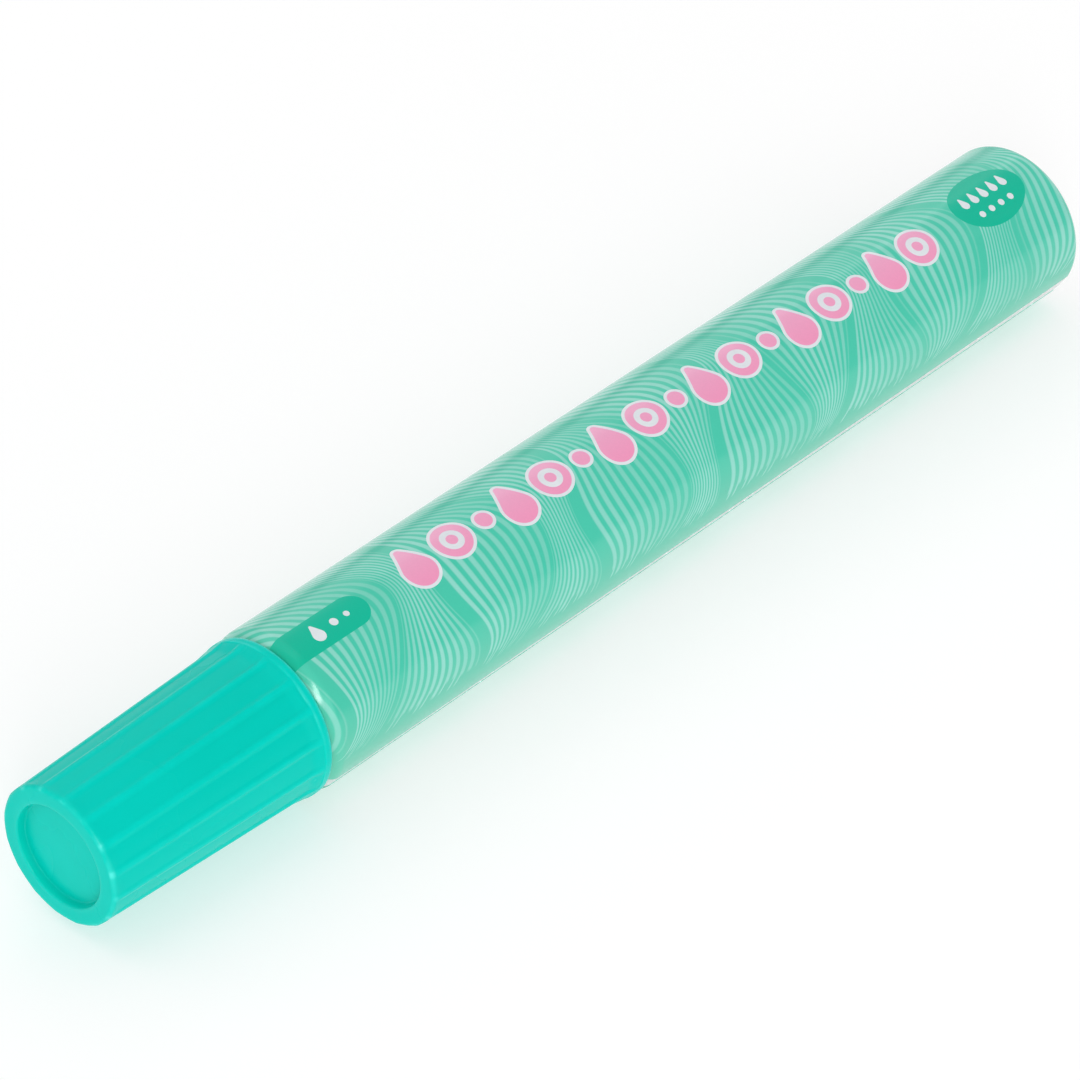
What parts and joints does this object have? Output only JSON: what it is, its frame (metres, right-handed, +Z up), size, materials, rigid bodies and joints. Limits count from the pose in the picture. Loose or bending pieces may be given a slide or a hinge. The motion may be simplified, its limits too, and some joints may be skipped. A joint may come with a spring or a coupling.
{
  "type": "liquid glue stick",
  "caption": "Slim liquid glue stick lying on its side: clear bottle in a printed film, tapered ribbed screw cap, and a sprung sponge dabber with a valve under the cap.",
  "frame": {"origin": "on the surface the stick lies on, under the middle of its overall length and of its width", "axes": "+Z up from the surface; +X along the stick's axis from the cap towards the base; Y across it"},
  "size_m": [0.19, 0.0234, 0.0234],
  "materials": {
    "clear_plastic": "gloss",
    "printed_film": "gloss",
    "glue": "gloss",
    "white_plastic": "satin",
    "silicone": "matte",
    "spring_steel": "polished",
    "foam": "matte",
    "netting": "matte",
    "cap_plastic": "satin",
    "liner_foam": "matte"
  },
  "bodies": {
    "tube": {"barrel": "clear_plastic", "print_wrap": "printed_film", "glue_fill": "glue", "nozzle": "white_plastic", "valve_spring": "spring_steel"},
    "dabber": {"sponge_carrier": "white_plastic", "valve_poppet": "silicone", "sponge_tip": "foam", "mesh_cover": "netting", "tip_ring": "white_plastic"},
    "cap_seal": {"cap_liner": "liner_foam"},
    "cap": {"cap_shell": "cap_plastic"}
  },
  "joints": [
    {"name": "cap_lift", "type": "slide", "parent": "tube", "child": "cap_seal", "axis": [-1, 0, 0], "range_m": [0, 0.0384]},
    {"name": "cap_turn", "type": "hinge", "parent": "cap_seal", "child": "cap", "pos_m": [-0.08, 0, 0.01172], "axis": [-1, 0, 0], "range_deg": [0, 1530]},
    {"name": "tip_press", "type": "slide", "parent": "tube", "child": "dabber", "axis": [1, 0, 0], "range_m": [0, 0.002], "stiffness_N_per_m": 400, "springref_m": -0.002, "deforming": ["valve_spring"]}
  ],
  "couplings": [
    {"joint": "cap_lift", "follows": "cap_turn", "m_per_rad": 0.0014324}
  ]
}
